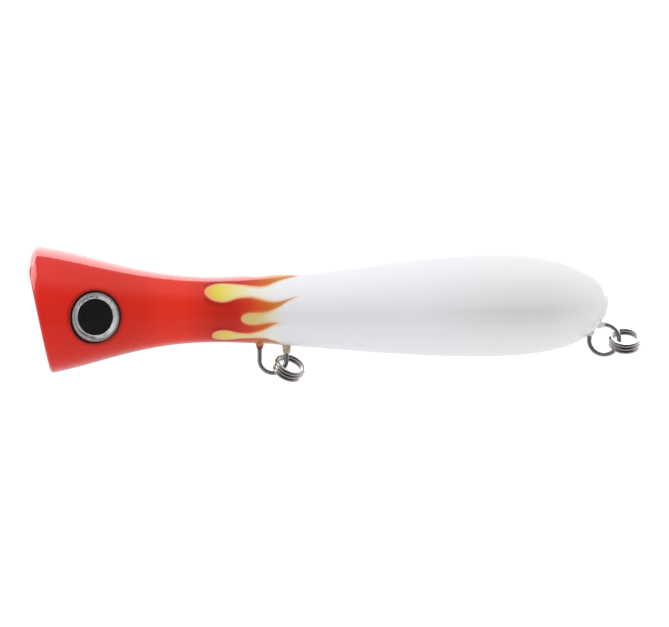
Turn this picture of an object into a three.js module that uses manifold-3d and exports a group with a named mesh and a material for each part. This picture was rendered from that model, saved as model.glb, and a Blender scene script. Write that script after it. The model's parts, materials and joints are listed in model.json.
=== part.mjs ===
// A through-wired topwater popper: a hollow two-piece body with a cupped, raked mouth, one bent stainless wire that
// makes the line tie, the belly loop and the tail loop, a split ring on each hook loop, glued-in eyes, brass ballast
// and a glass rattle. Millimetres, +Z up, the mouth at -X. The origin is where the line bears inside the line tie,
// and +Y is the fish's right side. Stations along the body are distances behind the tip of the upper lip.
import * as THREE from "three";
import { mergeVertices } from "three/addons/utils/BufferGeometryUtils.js";
import Module from "manifold-3d";

const wasm = await Module();
wasm.setup();

// ---- Driving dimensions ----
const LENGTH = 150;
const TIE_SETBACK = 5.4; // from the tip of the lip back to the origin
const NOSE = { radius: 13.9, rise: 1.9, run: 1.7 }; // the blank's rounded front corner, before the raked cut
const MOUTH = { station: 3.2, radius: 17.17, slope: 0.133, handle: 13.5 }; // where the flare leaves that corner
const WAIST = { station: 48.2, radius: 8.75, front: 19.85, rear: 19.8 }; // front, rear and handle are Bezier arms
const BELLY = { station: 119, radius: 14.7, front: 25.3, rear: 19.6 };
const TAIL_HANDLE = 9.8;
const CAMBER = { rise: 2.4, from: 45, to: 125 }; // the rear of the body sits a little higher than the head
const WALL = 1.9;
const FACE = { station: 2.4, rake: 11.8, bowlRadius: 14.6, bowlDepth: 8.5, lipRound: 1.2, lipRadius: 16.2 };
const HEAD_BORE = 7.4; // cavity radius behind the eyes
const CAVITY = { from: 15.5, to: 145 };
const RIBS = [
  { at: 29, thick: 2 },
  { at: 44, thick: 2 },
  { at: 56.5, thick: 14.5 }, // the block that anchors the belly loop
  { at: 80, thick: 2 },
  { at: 92, thick: 2 },
  { at: 108, thick: 2 },
  { at: 122.5, thick: 2.2 },
  { at: 130, thick: 2 },
];
const PEGS = [
  { station: 12.5, z: 9.6 },
  { station: 14.6, z: -9.9 },
  { station: 63.7, z: 4.8 },
  { station: 63.7, z: -4.8 },
  { station: 147.2, z: 2.4 },
];
const PEG = { radius: 0.8, length: 1.6, clearance: 0.2, root: 1 }; // the root is buried in the left half
const SEAM = 0.05; // half the gap between the body halves
const FAR = 40; // beyond any part of the body

const WIRE = 0.6; // wire radius
const STRAND = 0.7; // half the spacing of the doubled wire behind a loop
const NECK = 1.5; // bend radius where a loop closes onto its neck
const NOSE_LOOP = 2.9; // centreline radius of the line tie
const BELLY_LOOP = { station: 63.38, z: -13.12, radius: 3.5 };
const TAIL_LOOP = { station: 149, z: -7.96, radius: 3.87, droop: 57 };
const REAR_SHAFT_Z = 2.4;
const SHAFT_BEND = 2.2;
const FREE_ENDS = { nose: 15, tail: 8 }; // straight wire past each doubled loop
const WIRE_CLEARANCE = 0.3;
const SLEEVE = { wall: 0.55, gap: 0.12 };
const NOSE_CRIMP = { from: 18.5, to: 24.5, z: 0 };
const TAIL_CRIMP = { from: 131, to: 137, z: REAR_SHAFT_Z - STRAND };
const STRAND_SLOT = { from: 9, to: 16.5, margin: 0.02 }; // the margin is beyond a crimp sleeve's outside

const RING = { radius: 3.72, wide: 1.05, thick: 0.95, chamfer: 0.22, gap: 0.08, turns: 2.36 };
const RING_SKEW = 37; // how far each ring has rolled over towards the left side
const BELLY_RING = { reach: 4.58, below: 25.4 }; // from its loop's centre, in degrees below straight aft
const TAIL_RING = { reach: 5.28, below: 2.2 };

const EYE = { station: 17.95, z: -2.2, turn: 15.6, radius: 6.35, socket: 6.75, offset: 0.2, depth: 3.3 };
const BEZEL = { sink: 0.7, thick: 2.3, edge: 0.2, rim: 5.95, pupil: 4.7, dish: 1.25, waist: 0.6 };
const PUPIL = { gap: 0.1, top: -1.45 };
const LENS = { bottom: -1.35, gap: 0.15, dome: 0.5, lift: 0.05, waist: 0.4 };

// Epoxy round the wire: the bead's radius at the skin and at its tip, and its height.
const BELLY_SEAL_FRONT = { foot: 1.05, tip: 0.75, height: 1.5 };
const BELLY_SEAL_REAR = { foot: 1.15, tip: 0.85, height: 2.2 };
const TAIL_SEAL_UPPER = { foot: 1.15, tip: 0.85, height: 1.5 };
const TAIL_SEAL_LOWER = { foot: 1.0, tip: 0.8, height: 1.1 };
const MOUTH_SEAL = { radius: 2.3, shoulder: 1.7, back: 1.6, rise: 0.3, slope: 0.9, front: 1.1, reach: 6, set: 0.6 };
const SEAL_SHOULDER = 0.45; // share of a bead's height where it is midway between foot and tip
const SEAL_GAP = 0.12; // clearance round the wire and off the skin

const TUBE = { from: 93.4, to: 123.2, z: -3.9, radius: 4.4, wall: 0.7, plug: 2, plugGap: 0.05 };
const BALL = { radius: 3.4, gap: 0.15 };
const BELLY_WEIGHT = { from: 72.5, to: 90.5, z: -3.4, radius: 3.7, chamfer: 0.6 };
const TAIL_WEIGHT = { from: 126, to: 136.5, z: -4.1, radius: 3.8, chamfer: 0.6 };
const FIT = 0.2; // clearance of the pockets round the tube, the weights and the crimp sleeves

const rad = THREE.MathUtils.degToRad;
const stationX = (station) => station - TIE_SETBACK;
const camber = (station) => CAMBER.rise * THREE.MathUtils.smoothstep(station, CAMBER.from, CAMBER.to);

// ---- Materials ----
const paint = new THREE.MeshStandardMaterial({ color: 0xf2f2f4, roughness: 0.15 });
const steel = new THREE.MeshStandardMaterial({ color: 0xb9bbbd, roughness: 0.25, metalness: 1 });
const chrome = new THREE.MeshStandardMaterial({ color: 0xd5d5d6, roughness: 0.12, metalness: 1 });
const brass = new THREE.MeshStandardMaterial({ color: 0xc49a45, roughness: 0.35, metalness: 1 });
const black = new THREE.MeshStandardMaterial({ color: 0x050505, roughness: 0.2 });
const glass = new THREE.MeshStandardMaterial({ color: 0xffffff, roughness: 0.03, transparent: true, opacity: 0.35 });
const rubber = new THREE.MeshStandardMaterial({ color: 0x2a2a2a, roughness: 0.7 });
const redEpoxy = new THREE.MeshStandardMaterial({ color: 0xb02a20, roughness: 0.3 });
const paleEpoxy = new THREE.MeshStandardMaterial({ color: 0xd9d2c4, roughness: 0.3 });

// ---- Solids and meshes ----
function toSolid(geometry) {
  const bare = geometry.clone();
  bare.deleteAttribute("normal");
  bare.deleteAttribute("uv");
  const merged = mergeVertices(bare, 1e-4);
  const source = merged.index.array;
  const kept = [];
  for (let i = 0; i < source.length; i += 3) {
    const [a, b, c] = source.slice(i, i + 3);
    if (a !== b && b !== c && a !== c) kept.push(a, b, c);
  }
  const vertProperties = merged.attributes.position.array;
  return new wasm.Manifold(new wasm.Mesh({ numProp: 3, vertProperties, triVerts: new Uint32Array(kept) }));
}

function toMesh(name, solid, material) {
  const { vertProperties, triVerts } = solid.getMesh();
  const geometry = new THREE.BufferGeometry();
  geometry.setAttribute("position", new THREE.BufferAttribute(vertProperties, 3));
  geometry.setIndex(new THREE.BufferAttribute(triVerts, 1));
  geometry.computeVertexNormals();
  const mesh = new THREE.Mesh(geometry, material);
  mesh.name = name;
  return mesh;
}

// Turns a geometry made round +Y to stand along a direction, with its own origin at a point.
function stand(geometry, direction, point) {
  const up = new THREE.Vector3(0, 1, 0);
  geometry.applyQuaternion(new THREE.Quaternion().setFromUnitVectors(up, direction.clone().normalize()));
  return geometry.translate(point.x, point.y, point.z);
}

// A lathe whose outline is given as [radius, distance along +Y] pairs. It starts half a facet round, so that the
// seam between the body halves runs down the middle of a facet.
function lathe(outline, segments) {
  const points = outline.map(([r, y]) => new THREE.Vector2(r, y));
  return new THREE.LatheGeometry(points, segments, Math.PI / segments);
}

const AFT = new THREE.Vector3(1, 0, 0);

function rod(from, to, z, radius, segments) {
  const round = lathe([[0, 0], [radius, 0], [radius, to - from], [0, to - from]], segments);
  return stand(round, AFT, new THREE.Vector3(stationX(from), 0, z));
}

function box(x0, x1, y0, y1, z0, z1) {
  const block = new THREE.BoxGeometry(x1 - x0, y1 - y0, z1 - z0);
  return toSolid(block.translate((x0 + x1) / 2, (y0 + y1) / 2, (z0 + z1) / 2));
}

// ---- The body's outline: Bezier pieces round the nose, then from lip to waist, waist to belly and belly to tail ----
const bezier = (...xy) =>
  new THREE.CubicBezierCurve(...[0, 2, 4, 6].map((i) => new THREE.Vector2(xy[i], xy[i + 1])));
const OUTLINE = [
  bezier(
    0, NOSE.radius,
    0, NOSE.radius + NOSE.rise,
    MOUTH.station - NOSE.run, MOUTH.radius + MOUTH.slope * NOSE.run,
    MOUTH.station, MOUTH.radius,
  ),
  bezier(
    MOUTH.station, MOUTH.radius,
    MOUTH.station + MOUTH.handle, MOUTH.radius - MOUTH.slope * MOUTH.handle,
    WAIST.station - WAIST.front, WAIST.radius,
    WAIST.station, WAIST.radius,
  ),
  bezier(
    WAIST.station, WAIST.radius,
    WAIST.station + WAIST.rear, WAIST.radius,
    BELLY.station - BELLY.front, BELLY.radius,
    BELLY.station, BELLY.radius,
  ),
  bezier(
    BELLY.station, BELLY.radius,
    BELLY.station + BELLY.rear, BELLY.radius,
    LENGTH, TAIL_HANDLE,
    LENGTH, 0,
  ),
];

const outlinePoints = (perPiece) =>
  OUTLINE.flatMap((piece, i) => piece.getPoints(perPiece[i]).slice(i ? 1 : 0));

const FINE = outlinePoints([20, 60, 60, 60]);

function radiusAt(station) {
  const i = Math.max(1, FINE.findIndex((p) => p.x >= station));
  const [a, b] = [FINE[i - 1], FINE[i]];
  return THREE.MathUtils.mapLinear(station, a.x, b.x, a.y, b.y);
}

// Spins [station, radius] points round the body's axis and lifts them onto the cambered centreline.
function spin(points, segments) {
  const turned = lathe(points.map(([station, r]) => [r, station]), segments).rotateZ(-Math.PI / 2);
  const position = turned.attributes.position;
  for (let i = 0; i < position.count; i++) {
    position.setZ(i, position.getZ(i) + camber(position.getX(i)));
    position.setX(i, stationX(position.getX(i)));
  }
  return toSolid(turned);
}

// The outer skin, grown by a margin, as a solid that still has a plain front end.
function skin(margin, segments) {
  const points = outlinePoints([4, 8, 8, 8]).map((p) => [p.x, p.y ? p.y + margin : 0]);
  points[points.length - 1][0] += margin;
  return spin([[points[0][0], 0], ...points], segments);
}

const FACE_OUT = new THREE.Vector3(-Math.cos(rad(FACE.rake)), 0, -Math.sin(rad(FACE.rake)));

// Everything ahead of the mouth: a spherical bowl inside a rounded lip.
function mouthCutter() {
  const { bowlRadius, bowlDepth, lipRound, lipRadius } = FACE;
  const sphere = (bowlRadius ** 2 + bowlDepth ** 2) / (2 * bowlDepth);
  const half = Math.asin(bowlRadius / sphere);
  const bowl = [0, 1, 2, 3, 4, 5].map((i) => {
    const a = (half * i) / 5;
    return [sphere * Math.sin(a), sphere - bowlDepth - sphere * Math.cos(a)];
  });
  const lip = [0, 1, 2, 3].map((i) => {
    const a = rad(30 * i);
    return [lipRadius + lipRound * Math.sin(a), lipRound * (Math.cos(a) - 1)];
  });
  const outline = [...bowl, ...lip, [FAR, -lipRound], [FAR, FAR / 2], [0, FAR / 2]];
  return toSolid(stand(lathe(outline, 32), FACE_OUT, new THREE.Vector3(stationX(FACE.station), 0, 0)));
}

// The hollow inside: one long bore that narrows behind the eyes.
function cavity() {
  const count = 18;
  const points = [];
  for (let i = 0; i <= count; i++) {
    const station = THREE.MathUtils.lerp(CAVITY.from, CAVITY.to, i / count);
    const inner = radiusAt(station) - WALL;
    points.push([station, station < WAIST.station ? Math.min(inner, HEAD_BORE) : inner]);
  }
  return spin([[CAVITY.from, 0], ...points, [CAVITY.to, 0]], 24);
}

// ---- The wire, bent in the X-Z plane the way a bender makes it: feed straight, then bend round a radius ----
class BentWire extends THREE.Curve {
  constructor(x, z, heading) {
    super();
    this.stops = [{ x, z, heading: rad(heading) }];
  }

  get last() {
    return this.stops[this.stops.length - 1];
  }

  feed(length) {
    const { x, z, heading } = this.last;
    this.stops.push({ x: x + length * Math.cos(heading), z: z + length * Math.sin(heading), heading });
    return this;
  }

  // Bends left for a positive angle in degrees; an odd count leaves a flat facet at the middle of the bend.
  bend(radius, angle, count) {
    const { x, z, heading } = this.last;
    const side = Math.sign(angle);
    const centre = { x: x - side * radius * Math.sin(heading), z: z + side * radius * Math.cos(heading) };
    for (let i = 1; i <= count; i++) {
      const h = heading + (rad(angle) * i) / count;
      const stop = { x: centre.x + side * radius * Math.sin(h), z: centre.z - side * radius * Math.cos(h) };
      this.stops.push({ ...stop, heading: h });
    }
    return this;
  }

  // An eye: out along one strand, round the loop, and back along the other strand.
  eye(loop, count) {
    const open = THREE.MathUtils.radToDeg(Math.acos((STRAND + NECK) / (loop + NECK)));
    return this.bend(NECK, open, 3).bend(loop, -(180 + 2 * open), count).bend(NECK, open, 3);
  }

  getPoint(t, target = new THREE.Vector3()) {
    const { x, z } = this.stops[Math.round(t * (this.stops.length - 1))];
    return target.set(x, 0, z);
  }

  getTangent(t, target = new THREE.Vector3()) {
    const { heading } = this.stops[Math.round(t * (this.stops.length - 1))];
    return target.set(Math.cos(heading), 0, Math.sin(heading));
  }

  getPointAt(t, target) {
    return this.getPoint(t, target);
  }

  getTangentAt(t, target) {
    return this.getTangent(t, target);
  }

  tube(radius) {
    const section = new THREE.Shape();
    const corner = radius / Math.cos(Math.PI / 8);
    for (let i = 0; i < 8; i++) {
      const a = (i + 0.5) * (Math.PI / 4);
      section[i ? "lineTo" : "moveTo"](corner * Math.cos(a), corner * Math.sin(a));
    }
    const steps = this.stops.length - 1;
    return toSolid(new THREE.ExtrudeGeometry(section, { steps, extrudePath: this, bevelEnabled: false }));
  }
}

// Distance from an eye's centre back to where its neck runs straight.
const neckLength = (loop) => Math.sqrt((loop + NECK) ** 2 - (STRAND + NECK) ** 2);

function bendHarness() {
  const bellyX = stationX(BELLY_LOOP.station);
  const tail = { x: stationX(TAIL_LOOP.station), z: TAIL_LOOP.z };
  const droop = rad(TAIL_LOOP.droop);
  // The middle of the doubled wire at the tail turns down where its sloping line meets the shaft's height.
  const drop = REAR_SHAFT_Z - STRAND - tail.z;
  const cornerX = tail.x - drop / Math.tan(droop);
  const trim = (SHAFT_BEND + STRAND) * Math.tan(droop / 2);
  const slope = drop / Math.sin(droop) - neckLength(TAIL_LOOP.radius) - trim;

  const noseX = NOSE_LOOP - WIRE;
  const wire = new BentWire(noseX + neckLength(NOSE_LOOP) + FREE_ENDS.nose, -STRAND, 180);
  wire.feed(FREE_ENDS.nose).eye(NOSE_LOOP, 19);
  wire.feed(bellyX - BELLY_LOOP.radius - SHAFT_BEND - wire.last.x).bend(SHAFT_BEND, -90, 3);
  wire.feed(wire.last.z - BELLY_LOOP.z).bend(BELLY_LOOP.radius, 180, 13);
  wire.feed(REAR_SHAFT_Z - SHAFT_BEND - wire.last.z).bend(SHAFT_BEND, -90, 3);
  wire.feed(cornerX - trim - wire.last.x).bend(SHAFT_BEND + 2 * STRAND, -TAIL_LOOP.droop, 3);
  wire.feed(slope).eye(TAIL_LOOP.radius, 19);
  wire.feed(slope).bend(SHAFT_BEND, TAIL_LOOP.droop, 3).feed(FREE_ENDS.tail);
  return wire;
}

const HARNESS = bendHarness();

// Where the wire passes through the skin: the point on the skin and the way out.
function skinCrossings() {
  const { stops } = HARNESS;
  const outside = (x, z) => Math.abs(z - camber(x + TIE_SETBACK)) - radiusAt(x + TIE_SETBACK);
  const depth = (x, z) => (x + TIE_SETBACK >= LENGTH ? 1 : outside(x, z));
  const found = [];
  for (let i = 1; i < stops.length; i++) {
    const [a, b] = [stops[i - 1], stops[i]];
    if (Math.min(a.x, b.x) < stationX(CAVITY.from)) continue; // the line tie leaves through the mouth
    const pieces = 40;
    for (let k = 0; k < pieces; k++) {
      const at = (t) => ({ x: THREE.MathUtils.lerp(a.x, b.x, t), z: THREE.MathUtils.lerp(a.z, b.z, t) });
      const [p, q] = [at(k / pieces), at((k + 1) / pieces)];
      const [dp, dq] = [depth(p.x, p.z), depth(q.x, q.z)];
      if (dp * dq > 0 || dp === 0) continue;
      const sign = dp < 0 ? 1 : -1;
      const out = new THREE.Vector3(sign * (q.x - p.x), 0, sign * (q.z - p.z)).normalize();
      found.push({ point: new THREE.Vector3(p.x, 0, p.z), out });
    }
  }
  return found;
}

// A bead of epoxy where the wire leaves the body, tapering out along the wire.
function bead({ point, out }, { foot, tip, height }) {
  const outline = [
    [0, -foot],
    [foot, -foot],
    [foot, 0],
    [(foot + tip) / 2, height * SEAL_SHOULDER],
    [tip, height],
    [0, height],
  ];
  const blob = toSolid(stand(lathe(outline, 12), out, point));
  return blob.subtract(HARNESS.tube(WIRE + SEAL_GAP)).subtract(skin(SEAL_GAP, 32));
}

// The bead round both strands in the bottom of the mouth.
function mouthBead() {
  const { radius, shoulder, back, rise, slope, front, reach, set } = MOUTH_SEAL;
  const bottom = stationX(FACE.station) + FACE.bowlDepth;
  const outline = [
    [0, -back],
    [radius, -back],
    [radius, rise],
    [shoulder, slope],
    [0, front],
  ];
  const blob = toSolid(stand(lathe(outline, 16), AFT.clone().negate(), new THREE.Vector3(bottom, 0, 0)));
  const cup = lathe([[0, 0], [reach, 0], [reach, reach], [0, reach]], 16);
  const bowlSide = toSolid(stand(cup, FACE_OUT, new THREE.Vector3(bottom - set, 0, 0)));
  return blob.intersect(bowlSide).subtract(HARNESS.tube(WIRE + SEAL_GAP));
}

// A sleeve crimped over the doubled wire, or the solid oval that makes room for one: along X, round both strands.
function crimpSleeve(from, to, z, grow) {
  const oval = (path, r) => {
    path.absarc(STRAND, 0, r, -Math.PI / 2, Math.PI / 2, false);
    path.absarc(-STRAND, 0, r, Math.PI / 2, (3 * Math.PI) / 2, false);
    return path;
  };
  const shape = oval(new THREE.Shape(), WIRE + SLEEVE.wall + grow);
  if (!grow) shape.holes.push(oval(new THREE.Path(), WIRE + SLEEVE.gap));
  const extruded = new THREE.ExtrudeGeometry(shape, { depth: to - from, bevelEnabled: false, curveSegments: 6 });
  return toSolid(extruded.rotateY(Math.PI / 2).translate(stationX(from), 0, z));
}

const crimpPocket = ({ from, to, z }) => crimpSleeve(from - FIT, to + FIT, z, FIT);

// One oval slot for both strands between the bottom of the mouth and the cavity.
const strandSlot = () => crimpSleeve(STRAND_SLOT.from, STRAND_SLOT.to, 0, STRAND_SLOT.margin);

// ---- Eyes ----
const eyeOut = (side) => new THREE.Vector3(Math.sin(rad(EYE.turn)), side * Math.cos(rad(EYE.turn)), 0);

// A point near an eye: its centre on the skin, moved along the eye's own axis and aft across its face.
function eyePoint(side, lift, aft = 0) {
  const reach = Math.sqrt(radiusAt(EYE.station) ** 2 - EYE.z ** 2);
  const across = new THREE.Vector3(Math.cos(rad(EYE.turn)), -side * Math.sin(rad(EYE.turn)), 0);
  return new THREE.Vector3(stationX(EYE.station), side * reach, EYE.z)
    .addScaledVector(eyeOut(side), lift)
    .addScaledVector(across, aft);
}

const eyeLathe = (side, lift, outline) => toSolid(stand(lathe(outline, 32), eyeOut(side), eyePoint(side, lift)));

// The socket is a little forward of the eye, so that the gap round the bezel is widest in front.
function eyeSocket(side) {
  const outside = EYE.socket; // well clear of the skin
  const deep = [[0, -EYE.depth], [EYE.socket, -EYE.depth], [EYE.socket, outside], [0, outside]];
  return toSolid(stand(lathe(deep, 32), eyeOut(side), eyePoint(side, 0, -EYE.offset)));
}

function bezel(side) {
  const { sink, thick, edge, rim, pupil, dish, waist } = BEZEL;
  return eyeLathe(side, -sink, [
    [pupil, -thick],
    [EYE.radius, -thick],
    [EYE.radius, -edge],
    [EYE.radius - edge, 0],
    [rim, 0],
    [pupil + (rim - pupil) * waist, -dish / 2],
    [pupil, -dish],
    [pupil, -thick],
  ]);
}

function pupil(side) {
  const r = BEZEL.pupil - PUPIL.gap;
  return eyeLathe(side, -BEZEL.sink, [[0, -BEZEL.thick], [r, -BEZEL.thick], [r, PUPIL.top], [0, PUPIL.top]]);
}

function lens(side) {
  const { rim, pupil, sink, dish } = BEZEL;
  const dome = [0.92, 0.78, 0.6, 0.4, 0.2, 0].map((k) => [rim * k, LENS.dome * (1 - k * k) + LENS.lift]);
  return eyeLathe(side, -sink, [
    [0, LENS.bottom],
    [pupil - LENS.gap, LENS.bottom],
    [pupil + (rim - pupil) * LENS.waist, -dish / 2],
    [rim - LENS.gap, LENS.lift],
    ...dome,
  ]);
}

// ---- Split rings ----
// A flattened strip wound into a coil about +Y, with its joined ends on the side that faces +Z.
function coil() {
  const { radius, wide, thick, chamfer, gap, turns } = RING;
  const section = new THREE.Shape();
  const [w, t] = [wide / 2, thick / 2];
  section.moveTo(-w, -t + chamfer).lineTo(-w + chamfer, -t).lineTo(w - chamfer, -t).lineTo(w, -t + chamfer);
  section.lineTo(w, t - chamfer).lineTo(w - chamfer, t).lineTo(-w + chamfer, t).lineTo(-w, t - chamfer);
  section.closePath();
  const sweep = turns * 2 * Math.PI;
  const steps = Math.round(turns * 22);
  const strip = new THREE.ExtrudeGeometry(section, { depth: sweep, steps, bevelEnabled: false });
  const position = strip.attributes.position;
  for (let i = 0; i < position.count; i++) {
    const angle = position.getZ(i) - sweep / 2;
    const r = radius + position.getX(i);
    const along = position.getY(i) + ((thick + gap) * angle) / (2 * Math.PI);
    position.setXYZ(i, -r * Math.sin(angle), along, r * Math.cos(angle));
  }
  return strip;
}

// Hangs a coil on a loop: its centre is out along the reach, and it is skewed about that line.
function splitRing(loop, { reach, below }) {
  const skew = rad(RING_SKEW);
  const outward = new THREE.Vector3(Math.cos(rad(below)), 0, -Math.sin(rad(below)));
  const flat = new THREE.Vector3(0, 1, 0).cross(outward); // its axis, if it lay square to the wire
  const axis = flat.multiplyScalar(-Math.cos(skew)).addScaledVector(new THREE.Vector3(0, -1, 0), Math.sin(skew));
  const overlap = new THREE.Vector3().crossVectors(outward, axis); // the low side, where three turns overlap
  const turn = new THREE.Matrix4().makeBasis(outward, axis, overlap);
  const centre = new THREE.Vector3(stationX(loop.station), 0, loop.z).addScaledVector(outward, reach);
  return toSolid(coil().applyMatrix4(turn).translate(centre.x, centre.y, centre.z));
}

// ---- Rattle and ballast ----
function rattleTube() {
  const { from, to, z, radius, wall } = TUBE;
  const bore = toSolid(rod(from + wall, to + wall, z, radius - wall, 24));
  return toSolid(rod(from, to, z, radius, 24)).subtract(bore);
}

function rattlePlug() {
  const { to, z, radius, wall, plug, plugGap } = TUBE;
  return toSolid(rod(to - plug, to, z, radius - wall - plugGap, 20));
}

function rattleBall(index) {
  const start = TUBE.from + TUBE.wall + BALL.gap;
  const station = start + BALL.radius + index * (2 * BALL.radius + BALL.gap);
  const ball = new THREE.SphereGeometry(BALL.radius, 16, 10).translate(stationX(station), 0, TUBE.z);
  return toSolid(ball);
}

// A brass slug with chamfered ends.
function slug({ from, to, z, radius, chamfer }) {
  const length = to - from;
  const outline = [
    [0, 0],
    [radius - chamfer, 0],
    [radius, chamfer],
    [radius, length - chamfer],
    [radius - chamfer, length],
    [0, length],
  ];
  return toSolid(stand(lathe(outline, 20), AFT, new THREE.Vector3(stationX(from), 0, z)));
}

const pocket = ({ from, to, z, radius }) => toSolid(rod(from - FIT, to + FIT, z, radius + FIT, 24));

// ---- The body halves ----
const slab = (from, to, y0, y1) => box(stationX(from), stationX(to), y0, y1, -FAR, FAR);

function bodySolid() {
  const outer = skin(0, 32);
  let body = outer.subtract(cavity());
  for (const { at, thick } of RIBS) body = body.add(outer.intersect(slab(at, at + thick, -FAR, FAR)));
  const cutters = [
    mouthCutter(),
    HARNESS.tube(WIRE + WIRE_CLEARANCE),
    eyeSocket(-1),
    eyeSocket(1),
    pocket(TUBE),
    pocket(BELLY_WEIGHT),
    pocket(TAIL_WEIGHT),
    strandSlot(),
    crimpPocket(NOSE_CRIMP),
    crimpPocket(TAIL_CRIMP),
  ];
  return cutters.reduce((solid, cutter) => solid.subtract(cutter), body);
}

function peg({ station, z }, radius, length) {
  const pin = new THREE.CylinderGeometry(radius, radius, length + PEG.root, 12);
  return toSolid(pin.translate(stationX(station), (length - PEG.root) / 2, z));
}

function shells() {
  const body = bodySolid();
  let left = body.intersect(slab(-FAR, LENGTH + FAR, -FAR, -SEAM));
  let right = body.intersect(slab(-FAR, LENGTH + FAR, SEAM, FAR));
  for (const place of PEGS) {
    left = left.add(peg(place, PEG.radius, PEG.length));
    right = right.subtract(peg(place, PEG.radius + PEG.clearance, PEG.length + PEG.clearance));
  }
  return { left, right };
}

// ---- Assembly ----
const lure = new THREE.Group();
const place = (name, solid, material) => lure.add(toMesh(name, solid, material));

const { left, right } = shells();
place("shell_left", left, paint);
place("shell_right", right, paint);
place("wire_harness", HARNESS.tube(WIRE), steel);
place("nose_crimp_sleeve", crimpSleeve(NOSE_CRIMP.from, NOSE_CRIMP.to, NOSE_CRIMP.z, 0), brass);
place("tail_crimp_sleeve", crimpSleeve(TAIL_CRIMP.from, TAIL_CRIMP.to, TAIL_CRIMP.z, 0), brass);
place("mouth_wire_seal", mouthBead(), redEpoxy);

const [bellyFront, bellyRear, tailUpper, tailLower] = skinCrossings();
place("belly_wire_seal_front", bead(bellyFront, BELLY_SEAL_FRONT), redEpoxy);
place("belly_wire_seal_rear", bead(bellyRear, BELLY_SEAL_REAR), paleEpoxy);
place("tail_wire_seal_upper", bead(tailUpper, TAIL_SEAL_UPPER), paleEpoxy);
place("tail_wire_seal_lower", bead(tailLower, TAIL_SEAL_LOWER), paleEpoxy);

for (const [word, side] of [["left", -1], ["right", 1]]) {
  place(`eye_bezel_${word}`, bezel(side), chrome);
  place(`eye_pupil_${word}`, pupil(side), black);
  place(`eye_lens_${word}`, lens(side), glass);
}

place("belly_split_ring", splitRing(BELLY_LOOP, BELLY_RING), chrome);
place("tail_split_ring", splitRing(TAIL_LOOP, TAIL_RING), chrome);

place("rattle_tube", rattleTube(), glass);
place("rattle_plug", rattlePlug(), rubber);
["front", "middle", "rear"].forEach((word, i) => place(`rattle_ball_${word}`, rattleBall(i), chrome));
place("belly_ballast", slug(BELLY_WEIGHT), brass);
place("tail_ballast", slug(TAIL_WEIGHT), brass);

export default lure;
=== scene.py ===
"""The looks of a through-wired topwater popper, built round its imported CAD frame.

Geometry is worked out in millimetres and scaled to metres when a piece is finished. Stations are distances
behind the tip of the upper lip. +X points to the tail, +Y to the fish's right side and +Z up.
"""

import json
import math

import bmesh
import bpy
import numpy as np
from mathutils import Matrix, Vector


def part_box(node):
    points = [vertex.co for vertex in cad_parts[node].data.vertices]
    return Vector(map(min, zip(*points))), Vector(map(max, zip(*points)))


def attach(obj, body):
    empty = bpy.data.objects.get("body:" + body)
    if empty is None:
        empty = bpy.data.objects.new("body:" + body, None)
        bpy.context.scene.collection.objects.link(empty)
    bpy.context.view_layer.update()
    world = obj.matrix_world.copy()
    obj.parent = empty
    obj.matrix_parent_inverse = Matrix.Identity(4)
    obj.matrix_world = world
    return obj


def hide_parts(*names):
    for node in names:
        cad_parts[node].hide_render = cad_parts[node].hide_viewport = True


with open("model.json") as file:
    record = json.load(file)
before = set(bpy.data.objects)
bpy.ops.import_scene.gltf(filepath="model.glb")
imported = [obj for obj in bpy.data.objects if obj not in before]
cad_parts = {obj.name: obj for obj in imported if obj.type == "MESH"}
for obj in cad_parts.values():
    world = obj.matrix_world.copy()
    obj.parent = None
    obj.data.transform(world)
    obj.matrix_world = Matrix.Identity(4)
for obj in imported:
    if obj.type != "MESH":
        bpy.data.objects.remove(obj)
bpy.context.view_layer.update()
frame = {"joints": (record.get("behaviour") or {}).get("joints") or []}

MM = 0.001
JOINTS = {joint["name"]: joint for joint in frame["joints"]}


def box_mm(*nodes):
    """Lowest and highest corner of one or more CAD nodes, in millimetres."""
    corners = [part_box(node) for node in nodes]
    low = [min(c[0][i] for c in corners) / MM for i in range(3)]
    high = [max(c[1][i] for c in corners) / MM for i in range(3)]
    return Vector(low), Vector(high)


def lying(node):
    """Where a round piece that lies along the body starts and ends, its height, and its radius."""
    low, high = box_mm(node)
    return low.x, high.x, (low.z + high.z) / 2, (high.y - low.y) / 2


def joint_mm(name):
    return Vector(JOINTS[name]["pos_m"]) / MM


# ---- The body's form ----
BODY_LOW, BODY_HIGH = box_mm("shell_left", "shell_right")
LIP_X = BODY_LOW.x
OUTLINE = (  # Bezier pieces of (station, radius): nose corner, lip to waist, waist to belly, belly to tail
    ((0, 13.9), (0, 15.8), (1.5, 17.4), (3.2, 17.17)),
    ((3.2, 17.17), (16.7, 15.37), (28.35, 8.75), (48.2, 8.75)),
    ((48.2, 8.75), (68.0, 8.75), (93.7, 14.7), (119, 14.7)),
    ((119, 14.7), (138.6, 14.7), (150, 9.8), (150, 0)),
)
CAMBER = {"rise": 2.4, "start": 45.0, "end": 125.0}
FACE = {"station": 2.4, "rake": 11.8, "bowl": 14.6, "depth": 8.5, "lip": 16.0, "round": 1.35}
WAIST = 48.2
WALL = 1.9
HEAD_BORE = 7.4  # largest radius of the hollow ahead of the waist
CAVITY = (15.5, 145.0)  # stations
RIBS = ((29, 2), (44, 2), (56.5, 14.5), (80, 2), (92, 2), (108, 2), (122.5, 2.2), (130, 2))  # start, length
PEGS = ((12.5, 9.6), (14.6, -9.9), (63.7, 4.8), (63.7, -4.8), (147.2, 2.4))  # station, height
PEG_RADIUS, PEG_LENGTH, PEG_CLEARANCE = 0.8, 1.6, 0.2
CHANNEL_CLEARANCE = 0.3
NOSE_SLOT = {"start": 9, "clearance": 0.57}  # round the doubled wire, from the cup to the hollow
FAR = 60  # well clear of the body
SEAM = 0.003  # half the hairline between the halves
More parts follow.
